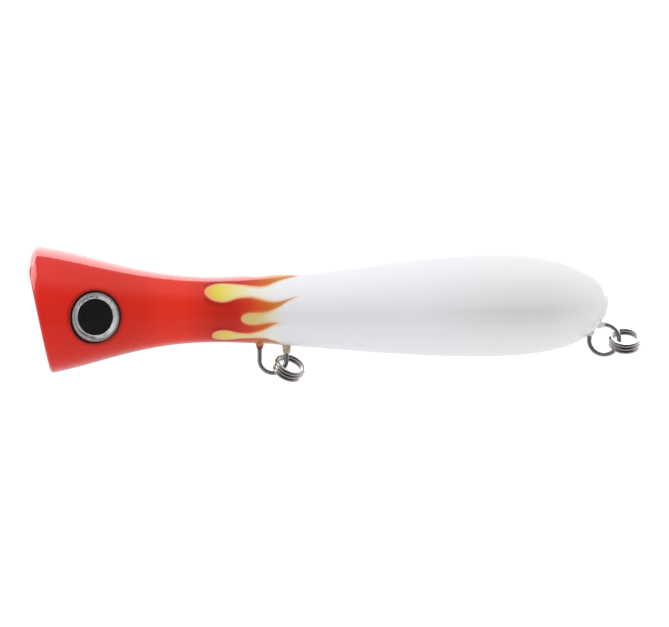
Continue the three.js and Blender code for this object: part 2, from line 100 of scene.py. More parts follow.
EYE = {"station": 17.95, "z": -2.2, "turn": 15.6, "socket": 6.75, "forward": 0.2, "depth": 3.3, "fillet": 0.3}
EYE_MIDDLE = 17.55  # station of the sunk ring's middle
FIT = 0.2  # clearance round the pieces that the body holds


def bezier(piece, count):
    t = np.linspace(0, 1, count)[:, None]
    p = np.array(piece, float)
    return (1 - t) ** 3 * p[0] + 3 * t * (1 - t) ** 2 * p[1] + 3 * t**2 * (1 - t) * p[2] + t**3 * p[3]


def outline(counts):
    parts = [bezier(piece, n)[(1 if i else 0):] for i, (piece, n) in enumerate(zip(OUTLINE, counts))]
    return np.vstack(parts)


FINE_OUTLINE = outline((60, 200, 200, 200))


def radius_at(station):
    return float(np.interp(station, FINE_OUTLINE[:, 0], FINE_OUTLINE[:, 1]))


def camber_at(station):
    t = min(max((station - CAMBER["start"]) / (CAMBER["end"] - CAMBER["start"]), 0), 1)
    return CAMBER["rise"] * t * t * (3 - 2 * t)


def cambered(p):
    """A point of the straight blank, moved to the raised centreline."""
    return Vector((p.x, p.y, p.z + camber_at(p.x - LIP_X)))


def x_of(station):
    return station + LIP_X


# ---- Meshes ----
def make_object(name, verts, faces):
    mesh = bpy.data.meshes.new(name)
    mesh.from_pydata([tuple(v) for v in verts], [], faces)
    bm = bmesh.new()
    bm.from_mesh(mesh)
    bmesh.ops.recalc_face_normals(bm, faces=bm.faces)
    bm.to_mesh(mesh)
    bm.free()
    obj = bpy.data.objects.new(name, mesh)
    bpy.context.scene.collection.objects.link(obj)
    return obj


def loft(name, rings, start=None, end=None):
    """A closed surface through rings of equal size. An end closes on its point if given, or on a flat cap."""
    size = len(rings[0])
    verts = [v for ring in rings for v in ring]
    faces = []
    for i in range(len(rings) - 1):
        for j in range(size):
            k = (j + 1) % size
            faces.append((i * size + j, i * size + k, (i + 1) * size + k, (i + 1) * size + j))
    last = (len(rings) - 1) * size
    for point, first in ((start, 0), (end, last)):
        if point is None:
            faces.append(tuple(range(first, first + size)))
            continue
        verts.append(point)
        tip = len(verts) - 1
        faces += [(first + j, first + (j + 1) % size, tip) for j in range(size)]
    return make_object(name, verts, faces)


def arc(centre, radius, start, end, count, height=None):
    """Points along a circle, or an ellipse if given a height, between two angles in degrees."""
    angles = [math.radians(start + (end - start) * i / (count - 1)) for i in range(count)]
    return [(centre[0] + radius * math.cos(a), centre[1] + (height or radius) * math.sin(a)) for a in angles]


def polar(r, a, h):
    return Vector((r * math.cos(a), r * math.sin(a), h))


def turns(count, shift=0.0):
    """Equal steps round a full circle, in radians."""
    return [(j + shift) * 2 * math.pi / count for j in range(count)]


def standing(axis, origin):
    """A matrix that stands a thing made along +Z on an axis, with its origin at a point."""
    return Matrix.Translation(Vector(origin)) @ Vector(axis).to_track_quat("Z", "Y").to_matrix().to_4x4()


def revolve(name, profile, segments, matrix=None, warp=None):
    """Spins (radius, height) pairs round +Z. The first and last pairs lie on the axis."""
    place = matrix or Matrix.Identity(4)
    move = warp or (lambda p: p)

    def point(r, a, h):
        return move(place @ polar(r, a, h))

    around = turns(segments, 0.5)  # half a facet round, so no edge runs along the seam
    rings = [[point(r, a, h) for a in around] for r, h in profile[1:-1]]
    return loft(name, rings, point(0, around[0], profile[0][1]), point(0, around[0], profile[-1][1]))


AFT = Vector((1, 0, 0))


def rod(name, start, end, z, radius, segments=64):
    profile = ((0, 0), (radius, 0), (radius, end - start), (0, end - start))
    return revolve(name, profile, segments, standing(AFT, (start, 0, z)))


def block(name, low, high):
    corners = [(x, y, z) for x in (low[0], high[0]) for y in (low[1], high[1]) for z in (low[2], high[2])]
    faces = [(0, 1, 3, 2), (4, 6, 7, 5), (0, 4, 5, 1), (2, 3, 7, 6), (0, 2, 6, 4), (1, 5, 7, 3)]
    return make_object(name, corners, faces)


def combine(target, others, operation, material=None):
    """Cuts or joins others into target in turn, and removes them. Bare ones take the given material."""
    for other in others:
        if material and not other.data.materials:
            other.data.materials.append(material)
        modifier = target.modifiers.new("combine", "BOOLEAN")
        modifier.object = other
        modifier.operation = operation
        modifier.solver = "MANIFOLD"
        modifier.material_mode = "TRANSFER"
    bpy.context.view_layer.update()
    evaluated = target.evaluated_get(bpy.context.evaluated_depsgraph_get())
    made = bpy.data.meshes.new_from_object(evaluated)
    target.modifiers.clear()
    target.data = made
    for other in others:
        bpy.data.objects.remove(other)
    return target


def copy_of(obj, name):
    twin = bpy.data.objects.new(name, obj.data.copy())
    bpy.context.scene.collection.objects.link(twin)
    return twin


def finished(obj, name, node, material=None, body="lure_body", sharp=35):
    """Scales a piece to metres, shades it, and puts it in place of its CAD node."""
    obj.name = name
    mesh = obj.data
    mesh.name = name
    mesh.transform(Matrix.Scale(MM, 4))
    mesh.shade_smooth()
    mesh.set_sharp_from_angle(angle=math.radians(sharp))
    if material:
        mesh.materials.clear()
        mesh.materials.append(material)
    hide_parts(node)
    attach(obj, body)
    return obj


# ---- Node graphs ----
def srgb(r, g, b):
    """A colour given as 0 to 255 display values, as the linear values that nodes take."""
    linear = [c / 255 / 12.92 if c <= 10 else ((c / 255 + 0.055) / 1.055) ** 2.4 for c in (r, g, b)]
    return (*linear, 1.0)


def grey(level):
    return (level, level, level, 1.0)


def shades(*rows):
    """Ramp stops from (place, red, green, blue) rows in display values."""
    return [(place, srgb(*rgb)) for place, *rgb in rows]


MARBLED = 0.3, 0.7  # the span of noise over which a surface's roughness varies
METAL_GRAIN = 0.00004  # depth in metres


class Graph:
    """The node tree of a new material, or of a given world, with short calls for the nodes used here."""

    def __init__(self, name, world=None):
        self.owner = world or bpy.data.materials.new(name)
        self.owner.use_nodes = True
        self.tree = self.owner.node_tree
        self.tree.nodes.clear()
        self.output = self.node("OutputWorld" if world else "OutputMaterial").inputs[0]
        self.coordinates = self.node("TexCoord").outputs["Object"]

    def put(self, socket, value):
        if isinstance(value, bpy.types.NodeSocket):
            self.tree.links.new(value, socket)
        else:
            socket.default_value = value

    def node(self, kind, inputs=None, **settings):
        made = self.tree.nodes.new("ShaderNode" + kind)
        for key, value in settings.items():
            setattr(made, key, value)
        for key, value in (inputs or {}).items():
            self.put(made.inputs[key], value)
        return made

    def axes(self):
        """X, Y and Z in metres."""
        return self.node("SeparateXYZ", {"Vector": self.coordinates}).outputs

    def math(self, operation, *values):
        return self.node("Math", dict(enumerate(values)), operation=operation).outputs[0]

    def plus(self, a, b):
        return self.math("ADD", a, b)

    def times(self, a, b):
        return self.math("MULTIPLY", a, b)

    def map(self, value, low, high, to_low=0.0, to_high=1.0, kind="LINEAR"):
        limits = {"From Min": low, "From Max": high, "To Min": to_low, "To Max": to_high}
        return self.node("MapRange", {"Value": value, **limits}, interpolation_type=kind).outputs[0]

    def ease(self, value, low, high, to_low=0.0, to_high=1.0):
        return self.map(value, low, high, to_low, to_high, "SMOOTHSTEP")

    def mix(self, factor, a, b, blend="MIX"):
        made = self.node("Mix", data_type="RGBA", blend_type=blend)
        for socket, value in zip((made.inputs[0], made.inputs[6], made.inputs[7]), (factor, a, b)):
            self.put(socket, value)
        return made.outputs[2]

    def ramp(self, value, stops, kind="LINEAR"):
        made = self.node("ValToRGB", {"Fac": value})
        made.color_ramp.interpolation = kind
        elements = made.color_ramp.elements
        while len(elements) < len(stops):
            elements.new(0.5)
        for element, (place, colour) in zip(elements, stops):
            element.position = place
            element.color = colour
        return made.outputs[0]

    def noise(self, scale, detail=3.0, vector=None, distortion=0.0):
        shape = {"Scale": scale, "Detail": detail, "Distortion": distortion}
        return self.node("TexNoise", {"Vector": vector or self.coordinates, **shape}).outputs[0]

    def stretched(self, scale):
        return self.node("Mapping", {"Vector": self.coordinates, "Scale": scale}).outputs[0]

    def bump(self, height, strength, distance):
        return self.node("Bump", {"Height": height, "Strength": strength, "Distance": distance}).outputs[0]

    def finish(self, shader):
        self.put(self.output, shader.outputs[0])
        return self.owner

    def surface(self, inputs):
        return self.finish(self.node("BsdfPrincipled", inputs))

    def see_through(self, factor):
        """Lets light straight through wherever the factor is 1."""
        solid = self.output.links[0].from_socket
        clear_shader = self.node("BsdfTransparent").outputs[0]
        return self.finish(self.node("MixShader", {0: factor, 1: solid, 2: clear_shader}))


# ---- Paint ----
# Each pale drop of the flame pattern opens towards the tail, and red licks are left between the drops. Edges
# run through (station, degrees up from the side). The first drop, over the back, has no upper edge. The last,
# under the belly, has no lower edge and is a painted highlight: a pale strip along the belly's lower edge.
DROPS = (  # upper edge, lower edge
    (
        None,
        (
            (55, 98), (55.3, 86), (55.9, 74), (56.8, 65.5), (58.2, 60.5), (60.4, 59), (62.6, 60),
            (64.6, 59.6), (66.6, 57), (68.6, 53), (71, 48), (74, 40),
        ),
    ),
    (
        (
            (45, 12), (45.65, 30), (45.85, 33.5), (46.25, 37), (46.9, 40.6), (47.9, 44.2), (49, 46.3),
            (50.2, 47), (52, 46), (53.8, 44), (55.4, 42), (57.1, 39.4), (58.8, 37), (60.4, 36), (62, 37),
            (63.3, 40), (65, 44), (66.7, 46.6), (69.2, 49.5), (71.5, 56), (74, 70),
        ),
        (
            (45, 48), (45.65, 30), (45.8, 26.5), (46.25, 22), (47.3, 16), (48.75, 12.2), (50.4, 10.6),
            (52.1, 12), (53.8, 15.4), (55.4, 17), (57.1, 17.2), (58.8, 15.2), (60.4, 12), (62, 9.4),
            (63.8, 8), (65.4, 9), (67, 11), (68.8, 13.4), (70, 14), (74, 6),
        ),
    ),
    (
        (
            (54.4, -36), (55.1, -18), (55.3, -14.6), (55.8, -11.4), (56.7, -8.9), (58.3, -8), (60, -8),
            (61.7, -7), (63.3, -4), (65, 0.3), (66.6, 6), (68.3, 11), (69.4, 14), (74, 30),
        ),
        (
            (54.4, 0), (55.1, -18), (55.3, -21.4), (55.8, -25), (56.7, -27.6), (58.3, -28.8), (60, -27.6),
            (61.7, -25.6), (63.3, -24.7), (64.6, -25.5), (67, -30), (74, -50),
        ),
    ),
    (
        (
            (46.9, -72), (47.6, -54), (47.8, -49.5), (48.3, -45), (49.5, -41.4), (51.2, -40.6), (52.9, -42.8),
            (54.6, -45.8), (56.7, -46.6), (58.3, -44.4), (60, -40.4), (61.7, -35), (63.3, -29), (64.3, -26),
            (67, -20), (74, -10),
        ),
        (
            (46.9, -36), (47.6, -54), (47.8, -59), (48.3, -63), (49.5, -66), (51.2, -66.8), (52.9, -65),
            (54.6, -62.2), (56.7, -60), (58.3, -58.6), (60, -58), (61.7, -59), (63.3, -63), (64.6, -68.6),
            (65.6, -76), (66.3, -85), (68, -100), (74, -100),
        ),
    ),
    # Painted highlight: a pale strip along the lower edge of the belly, drawn as a drop.
    (
        (
            (59, -100), (59.4, -92), (60, -84), (60.6, -78.5), (61.6, -75), (63, -75), (64.2, -78.5),
            (65.2, -84), (66, -92), (67, -100),
        ),
        None,
    ),
)
PATTERN_START, PATTERN_END = 44.0, 74.0
MM_PER_DEGREE = 0.16
CURVE_SPAN = 200.0  # degrees covered by the height of an edge's curve
EDGE_STEP = 0.25  # mm either side over which an edge's slope is measured
MAX_STRETCH = 2.6
LICK_SOFTNESS = 0.34  # mm either side over which red turns to a drop's colour

# The darker red over the narrow neck, at about 0.66 to 0.77, is partly painted shade.
RED_ALONG_HEAD = shades(  # by share of the first 70 mm
    (0.00, 224, 42, 34), (0.22, 216, 36, 26), (0.34, 212, 38, 26), (0.42, 218, 44, 30), (0.50, 232, 50, 34),
    (0.58, 232, 50, 34), (0.66, 206, 40, 28), (0.71, 190, 36, 28), (0.77, 192, 38, 30), (0.82, 204, 62, 38),
    (0.86, 208, 90, 40), (0.90, 206, 110, 46), (0.94, 200, 142, 66), (1.00, 208, 180, 116),
)
DROP_FADE = shades(  # from a drop's round end to its white mouth
    (0.00, 236, 152, 84), (0.08, 234, 172, 80), (0.16, 228, 200, 80), (0.25, 227, 214, 86),
    (0.36, 232, 218, 128), (0.50, 235, 224, 170), (0.68, 236, 232, 214), (1.00, 238, 237, 238),
)
# Painted shade: the pale paint is darkened a little just below the side, where the light falls off.
FLANK_PAINTED_SHADE = (  # (degrees up from the side, tone)
    (-52, 1), (-32, 0.93), (-22, 0.84), (-12, 0.8), (-2, 0.88), (16, 0.95), (38, 1),
)


def edge_curve(g, share, points):
    """A drop's edge, in degrees, as a smooth curve over the pattern's length."""
    made = g.node("FloatCurve", {"Value": share})
    curve = made.mapping.curves[0]
    span = PATTERN_END - PATTERN_START
    places = [((station - PATTERN_START) / span, angle / CURVE_SPAN + 0.5) for station, angle in points]
    if places[0][0] > 0:
        places = [(0, places[0][1])] + places
    while len(curve.points) < len(places):
        curve.points.new(0.5, 0.5)
    for point, place in zip(curve.points, places):
        point.location = place
        point.handle_type = "AUTO_CLAMPED"
    made.mapping.update()
    return g.times(g.math("SUBTRACT", made.outputs[0], 0.5), CURVE_SPAN)


def distances_above(g, share, angle, points):
    """How far a place is above an edge in millimetres: straight up, and square to the edge."""
    step = EDGE_STEP / (PATTERN_END - PATTERN_START)
    gap = g.times(g.math("SUBTRACT", angle, edge_curve(g, share, points)), MM_PER_DEGREE)
    ahead = edge_curve(g, g.plus(share, step), points)
    behind = edge_curve(g, g.math("SUBTRACT", share, step), points)
    slope = g.times(g.math("SUBTRACT", ahead, behind), MM_PER_DEGREE / (2 * EDGE_STEP))
    stretch = g.math("MINIMUM", g.math("SQRT", g.math("MULTIPLY_ADD", slope, slope, 1.0)), MAX_STRETCH)
    return gap, g.math("DIVIDE", gap, stretch)


def drop_depths(g, station, angle):
    """How far a place is inside the nearest pale drop, both ways in millimetres; negative in the red."""
    share = g.map(station, PATTERN_START, PATTERN_END)
    deepest = []
    for upper, lower in DROPS:
        edges = []
        if lower:
            edges.append(distances_above(g, share, angle, lower))
        if upper:
            edges.append([g.times(d, -1.0) for d in distances_above(g, share, angle, upper)])
        depths = edges[0] if len(edges) == 1 else [g.math("MINIMUM", a, b) for a, b in zip(*edges)]
        deepest = [g.math("MAXIMUM", a, b) for a, b in zip(deepest, depths)] if deepest else depths
    wander = g.math("MULTIPLY_ADD", g.noise(900.0), 0.12, -0.06)
    return deepest[0], g.plus(deepest[1], wander)


def red_paint(g, station, angle, upright, depth, cloud):
    """Red that brightens behind the eye, deepens round the drops and turns gold along the licks."""
    red = g.ramp(g.map(station, 0.0, 70.0), RED_ALONG_HEAD)
    red = g.mix(g.map(cloud, 0.35, 0.7, 0.0, 0.22), red, srgb(222, 60, 38))
    shade = g.times(g.ease(depth, -1.8, -0.7, 0.0, 0.7), g.map(depth, -0.6, -0.1, 1.0, 0.0))
    shade = g.times(shade, g.ease(upright, -2.6, -1.4))
    red = g.mix(g.times(shade, g.map(station, 50.0, 54.5, 1.0, 0.0)), red, srgb(158, 34, 28))
    gold = g.times(g.ease(depth, -0.9, -0.2), g.map(station, 54.0, 66.0, 0.0, 0.8))
    red = g.mix(gold, red, srgb(206, 130, 48))
    brown = g.times(g.map(angle, -50.0, -62.0), g.map(station, 56.0, 62.0, 0.0, 0.85))
    return g.mix(brown, red, srgb(176, 118, 70))


def pale_paint(g, station, angle, depth):
    """The drops, yellow with a salmon rim, fading into the white of the rear, with painted shade just below
    the side and a painted highlight under the belly.
    """
    short = g.map(g.math("ABSOLUTE", g.plus(angle, 18.0)), 10.0, 14.0, 1.0, 0.0)  # the middle drop
    low = g.map(angle, -36.0, -40.0)
    late = g.plus(g.times(short, -6.0), g.times(low, -1.5))
    fade = g.map(g.plus(station, late), 45.0, 65.0)
    fade = g.plus(fade, g.math("MULTIPLY_ADD", g.noise(220.0), 0.08, -0.04))
    drop = g.ramp(fade, DROP_FADE)
    rim = g.times(g.ease(depth, 0.1, 1.0, 1.0, 0.0), g.map(station, 60.0, 72.0, 0.85, 0.0))
    buff = g.plus(g.times(short, 0.75), g.times(low, 0.3))
    drop = g.mix(g.times(buff, g.map(station, 58.0, 63.0, 1.0, 0.0)), drop, srgb(216, 194, 128))
    drop = g.mix(rim, drop, srgb(242, 184, 130))
    # Painted highlight: the pale paint turns cream low under the belly between stations 62 and 70.
    under = g.times(g.map(angle, -66.0, -74.0), g.map(station, 62.0, 70.0, 0.8, 0.0))
    drop = g.mix(under, drop, srgb(234, 204, 172))
    white = g.mix(g.map(g.noise(24.0, 2.0), 0.3, 0.75, 0.0, 0.5), srgb(240, 239, 243), srgb(235, 235, 241))
    white = g.mix(g.map(station, 100.0, 130.0), white, srgb(238, 238, 239))
    pale = g.mix(g.ease(station, 60.0, 72.0), drop, white)
    # Painted shade: the pale paint darkens just below the side, fading in towards the rear and out at the
    # tail tip.
    stops = [(degrees / 180 + 0.5, grey(tone)) for degrees, tone in FLANK_PAINTED_SHADE]
    side_painted_shade = g.ramp(g.map(angle, -90.0, 90.0), stops, "EASE")
    share = g.times(g.map(station, 100.0, 125.0, 0.45, 1.0), g.map(station, 134.0, 148.0, 1.0, 0.0))
    return g.mix(share, pale, side_painted_shade, "MULTIPLY")


def eye_distance(g, place):
    """Distance in mm from the middle of the sunk eye ring, measured across the ring."""
    along = g.math("MULTIPLY_ADD", place[0], 1 / MM, -LIP_X - EYE_MIDDLE)
    along = g.times(along, 1 / math.cos(math.radians(EYE["turn"])))
    up = g.math("MULTIPLY_ADD", place[2], 1 / MM, -EYE["z"])
    square = g.math("MULTIPLY_ADD", along, along, g.times(up, up))
    return g.math("SQRT", square)


def paint():
    g = Graph("flame_enamel")
    place = g.axes()
    station = g.math("MULTIPLY_ADD", place[0], 1 / MM, -LIP_X)
    camber = g.ease(station, CAMBER["start"], CAMBER["end"], 0.0, CAMBER["rise"] * MM)
    height = g.math("SUBTRACT", place[2], camber)
    angle = g.math("DEGREES", g.math("ARCTAN2", height, g.math("ABSOLUTE", place[1])))
    cloud = g.noise(38.0, 2.0)
    upright, depth = drop_depths(g, station, angle)
    red = red_paint(g, station, angle, upright, depth, cloud)
    pale = pale_paint(g, station, angle, depth)
    colour = g.mix(g.ease(depth, -LICK_SOFTNESS, LICK_SOFTNESS), red, pale)
    # Painted shade: the paint darkens to brown round the eye socket, as the shadow round the sunk ring.
    eye_painted_shade = g.ease(eye_distance(g, place), 6.8, 8.0, 0.6, 0.0)
    colour = g.mix(eye_painted_shade, colour, srgb(84, 24, 18))

    peel = g.bump(g.noise(420.0, 2.0), 0.05, 0.0002)
    scratches = g.noise(1.0, 2.0, g.stretched((260.0, 5200.0, 5200.0)), 0.4)
    coat_rough = g.plus(g.map(g.noise(60.0), 0.3, 0.8, 0.04, 0.08), g.map(scratches, 0.7, 0.86, 0.0, 0.12))
    coat_rough = g.plus(coat_rough, g.map(station, 56.0, 76.0, 0.0, 0.14))
    return g.surface(
        {
            "Base Color": colour,
            "Roughness": g.map(cloud, *MARBLED, 0.34, 0.46),
            "Specular IOR Level": 0.0,
            "Coat Weight": 1.0,
            "Coat Roughness": coat_rough,
            "Coat IOR": 1.4,
            "Coat Normal": peel,
        }
    )


def mottled(name, scale, detail, light, dark, roughness, relief, **extra):
    """A surface whose tone, roughness and relief all follow one noise."""
    g = Graph(name)
    cloud = g.noise(scale, detail)
    inputs = {
        "Base Color": g.mix(cloud, srgb(*light), srgb(*dark)),
        "Roughness": g.map(cloud, *MARBLED, *roughness),
        "Normal": g.bump(cloud, relief, 0.0001),
    }
    return g.surface({**inputs, **extra})


def raw_plastic():
    g = Graph("raw_plastic")
    tone = g.mix(g.noise(90.0), srgb(228, 226, 218), srgb(214, 211, 201))
    grain = g.bump(g.noise(2400.0, 4.0), 0.25, 0.0001)
    return g.surface({"Base Color": tone, "Roughness": 0.48, "Normal": grain})


def metal(name, bright, dull, roughness, draw, relief=0.1):
    """Metal with smudged roughness and fine marks drawn out along one axis."""
    g = Graph(name)
    smudge = g.noise(140.0, 4.0)
    marks = g.noise(1.0, 3.0, g.stretched(draw))
    wear = g.plus(smudge, g.times(marks, 0.5))
    return g.surface(
        {
            "Base Color": g.mix(g.map(smudge, 0.35, 0.7), srgb(*bright), srgb(*dull)),
            "Metallic": 1.0,
            "Roughness": g.map(wear, 0.5, 1.0, *roughness),
            "Normal": g.bump(marks, relief, METAL_GRAIN),
        }
    )


def nickel():
    """Bright plating: dark where it faces the viewer's dim side of the room, light towards its edges."""
    g = Graph("ring_nickel")
    smudge = g.noise(300.0, 3.0)
    smear = g.map(smudge, 0.4, 0.7, 0.0, 0.35)
    facing = g.node("LayerWeight", {"Blend": 0.5}).outputs["Facing"]
    tones = shades((0.0, 96, 93, 92), (0.12, 124, 121, 119), (0.34, 206, 203, 201), (1.0, 240, 239, 238))
    return g.surface(
        {
            "Base Color": g.mix(smear, g.ramp(facing, tones), srgb(150, 142, 138)),
            "Metallic": 1.0,
            "Roughness": g.map(smudge, *MARBLED, 0.08, 0.2),
            "Normal": g.bump(g.noise(900.0, 3.0), 0.12, METAL_GRAIN),
        }
    )


def foil():
    """Silver eye foil, crumpled enough to break its reflections into light and dark patches, with painted
    shade towards its outer rim.
    """
    g = Graph("eye_foil")
    crumple = g.node("TexVoronoi", {"Vector": g.coordinates, "Scale": 700.0}).outputs[0]
    ripple = g.noise(800.0, 3.0)
    height = g.plus(crumple, g.times(ripple, 0.6))
    stain = g.map(g.noise(420.0, 2.0), 0.54, 0.68)
    silver = g.mix(ripple, srgb(252, 252, 252), srgb(214, 216, 220))
    # Painted shade: the foil darkens to brown towards its outer rim, where the ring is in shadow.
    rim_painted_shade = g.ease(eye_distance(g, g.axes()), 5.5, 6.3, 0.0, 0.8)
    silver = g.mix(rim_painted_shade, silver, srgb(104, 70, 62))
    return g.surface(
        {
            "Base Color": g.mix(g.times(stain, 0.7), silver, srgb(150, 122, 106)),
            "Metallic": g.map(ripple, 0.35, 0.65, 0.05, 0.5),
            "Roughness": g.map(ripple, *MARBLED, 0.2, 0.4),
            "Normal": g.bump(height, 0.6, 0.0004),
        }
    )


def socket_painted_shadow():
    """Painted shadow: the eye socket's wall, dark brown for the shade in the pocket."""
    return mottled("socket_painted_shadow", 600.0, 3.0, (70, 26, 20), (34, 18, 16), (0.4, 0.7), 0.2)


def pupil_black():
    dull = {"Specular IOR Level": 0.1}
    return mottled("pupil_black", 500.0, 3.0, (4, 4, 6), (16, 16, 20), (0.25, 0.45), 0.1, **dull)


def clear(name, tint, roughness, ior):
    """A clear solid that casts no shadow, so that what lies under it is lit."""
    g = Graph(name)
    haze = g.noise(160.0, 3.0)
    g.surface(
        {
            "Base Color": tint,
            "Roughness": g.map(haze, 0.3, 0.8, roughness, roughness + 0.03),
            "IOR": ior,
            "Transmission Weight": 1.0,
            "Normal": g.bump(haze, 0.02, 0.0001),
        }
    )
    path = g.node("LightPath").outputs
    return g.see_through(g.math("MAXIMUM", path["Is Shadow Ray"], path["Is Diffuse Ray"]))


def epoxy(name, tones, tail_tones=None):
    """Brushed-on epoxy. Its tones may differ at the tail, and at the belly loop it thins to salmon."""
    g = Graph(name)
    cloud = g.noise(700.0, 4.0)
    place = g.axes()
    light, dark = (srgb(*tone) for tone in tones)
    if tail_tones:
        aft = g.map(place[0], 0.08, 0.12)
        light, dark = (g.mix(aft, belly, srgb(*tail)) for belly, tail in zip((light, dark), tail_tones))
    thin = g.times(g.map(place[2], -0.0101, -0.0094, 0.0, 0.7), g.map(place[0], 0.05, 0.054))
    thin = g.times(thin, g.map(place[0], 0.06, 0.058))
    return g.surface(
        {
            "Base Color": g.mix(thin, g.mix(g.map(cloud, *MARBLED), light, dark), srgb(236, 150, 104)),
            "Roughness": g.map(cloud, *MARBLED, 0.12, 0.3),
            "Coat Weight": 0.6,
            "Normal": g.bump(cloud, 0.2, 0.0001),
        }
    )


def rubber():
    return mottled("plug_rubber", 1800.0, 4.0, (24, 24, 25), (44, 43, 42), (0.6, 0.85), 0.3)


# ---- The wire ----
class BentWire:
    """A wire bent in the X-Z plane: fed straight, then bent round a radius, left for a positive angle."""

    def __init__(self, x, z, heading):
        self.stops = [(x, z, math.radians(heading))]

    @property
    def x(self):
        return self.stops[-1][0]

    @property
    def z(self):
        return self.stops[-1][1]

    def feed(self, length):
        x, z, heading = self.stops[-1]
        self.stops.append((x + length * math.cos(heading), z + length * math.sin(heading), heading))
        return self

    def bend(self, radius, angle, step=5.0):
        x, z, heading = self.stops[-1]
        side = math.copysign(1, angle)
        cx = x - side * radius * math.sin(heading)
        cz = z + side * radius * math.cos(heading)
        count = max(2, round(abs(angle) / step))
        for i in range(1, count + 1):
            h = heading + math.radians(angle) * i / count
            self.stops.append((cx + side * radius * math.sin(h), cz - side * radius * math.cos(h), h))
        return self

    def eye(self, loop):
        """Out along one strand, round the loop, and back along the other strand."""
        opening = math.degrees(math.acos((STRAND + NECK) / (loop + NECK)))
        return self.bend(NECK, opening).bend(loop, -(180 + 2 * opening)).bend(NECK, opening)

    def at(self, length):
        """Place and heading at a distance along the wire."""
        for (x0, z0, h0), (x1, z1, h1) in zip(self.stops, self.stops[1:]):
            step = math.hypot(x1 - x0, z1 - z0)
            if length <= step:
                t = length / step
                return x0 + (x1 - x0) * t, z0 + (z1 - z0) * t, h0 + (h1 - h0) * t
            length -= step
        return self.stops[-1]

    def tube(self, name, radius, sides=28):
        """The solid wire, with slightly rounded cut ends."""
        first, last = self.stops[0], self.stops[-1]
        rings = [self.ring(first, radius * 0.8, sides, 0.0), self.ring(first, radius, sides, radius * 0.2)]
        rings += [self.ring(stop, radius, sides, 0.0) for stop in self.stops[1:-1]]
        rings += [self.ring(last, radius, sides, -radius * 0.2), self.ring(last, radius * 0.8, sides, 0.0)]
        return loft(name, rings)

    @staticmethod
    def ring(stop, radius, sides, ahead):
        x, z, heading = stop
        along = Vector((math.cos(heading), 0, math.sin(heading)))
        across = Vector((-math.sin(heading), 0, math.cos(heading)))
        centre = Vector((x, 0, z)) + along * ahead
        around = turns(sides, 0.5)
        sideways = Vector((0, radius, 0))
        return [centre + across * (radius * math.cos(a)) + sideways * math.sin(a) for a in around]


WIRE_LOW, WIRE_HIGH = box_mm("wire_harness")
WIRE = (WIRE_HIGH.y - WIRE_LOW.y) / 2
STRAND = 0.7  # half the spacing of the doubled wire behind a loop
NECK = 1.5
SHAFT_BEND = 2.2
SHAFT_Z = 2.4
DROOP = 57.0
FREE_END = 15.0
BELLY_LOOP = joint_mm("belly_ring_swing")
TAIL_LOOP = joint_mm("tail_ring_swing")
BELLY_RADIUS = BELLY_LOOP.z - WIRE_LOW.z - WIRE
TAIL_RADIUS = 3.87
NOSE_RADIUS = 2.9


def neck_length(loop):
    return math.sqrt((loop + NECK) ** 2 - (STRAND + NECK) ** 2)


def bend_harness():
    nose_x = WIRE_LOW.x + WIRE + NOSE_RADIUS
    slope_angle = math.radians(DROOP)
    drop = SHAFT_Z - STRAND - TAIL_LOOP.z
    corner_x = TAIL_LOOP.x - drop / math.tan(slope_angle)
    middle = SHAFT_BEND + STRAND
    trim = middle * math.tan(slope_angle / 2)
    slope = drop / math.sin(slope_angle) - neck_length(TAIL_RADIUS) - trim

    wire = BentWire(nose_x + neck_length(NOSE_RADIUS) + FREE_END, -STRAND, 180)
    wire.feed(FREE_END).eye(NOSE_RADIUS)
    wire.feed(BELLY_LOOP.x - BELLY_RADIUS - SHAFT_BEND - wire.x).bend(SHAFT_BEND, -90)
    wire.feed(wire.z - BELLY_LOOP.z).bend(BELLY_RADIUS, 180)
    wire.feed(SHAFT_Z - SHAFT_BEND - wire.z).bend(SHAFT_BEND, -90)
    wire.feed(corner_x - trim - wire.x).bend(SHAFT_BEND + 2 * STRAND, -DROOP)
    wire.feed(slope).eye(TAIL_RADIUS)
    wire.feed(slope).bend(SHAFT_BEND, DROOP).feed(8)
    return wire


HARNESS = bend_harness()


# ---- The body halves ----
def skin():
    """The blank before the mouth is cut: the outline spun round the cambered centreline."""
    points = outline((9, 60, 70, 60))
    profile = [(0.0, points[0][0])] + [(r, station) for station, r in points]
    return revolve("skin", profile, 144, standing(AFT, (LIP_X, 0, 0)), cambered)


def face_matrix(x):
    rake = math.radians(FACE["rake"])
    return standing((-math.cos(rake), 0, -math.sin(rake)), (x, 0, 0))


def mouth_cutter():
    """Everything ahead of the mouth: a spherical bowl inside a rounded lip."""
    bowl, depth = FACE["bowl"], FACE["depth"]
    sphere = (bowl**2 + depth**2) / (2 * depth)
    half = math.degrees(math.asin(bowl / sphere))
    rim = 0.35  # the bowl's edge is eased by this much
    profile = [(r, h) for r, h in arc((0, sphere - depth), sphere, -90, half - 90, 29) if r < bowl - rim]
    profile += arc((bowl + rim, -1.2 * rim), 1.2 * rim, 150, 90, 5)
    profile += arc((FACE["lip"], -FACE["round"]), FACE["round"], 90, 0, 13)
    far = 14.0
    profile += [(FACE["lip"] + far, -FACE["round"]), (FACE["lip"] + far, far), (0, far)]
    return revolve("mouth", profile, 144, face_matrix(x_of(FACE["station"])))


def cavity():
    stations = np.linspace(*CAVITY, 60)
    inner = [min(radius_at(s) - WALL, HEAD_BORE if s < WAIST else FAR) for s in stations]
    profile = [(0.0, stations[0])] + list(zip(inner, stations)) + [(0.0, stations[-1])]
    return revolve("cavity", profile, 72, standing(AFT, (LIP_X, 0, 0)), cambered)


def eye_axis(side):
    turn = math.radians(EYE["turn"])
    return Vector((math.sin(turn), side * math.cos(turn), 0))


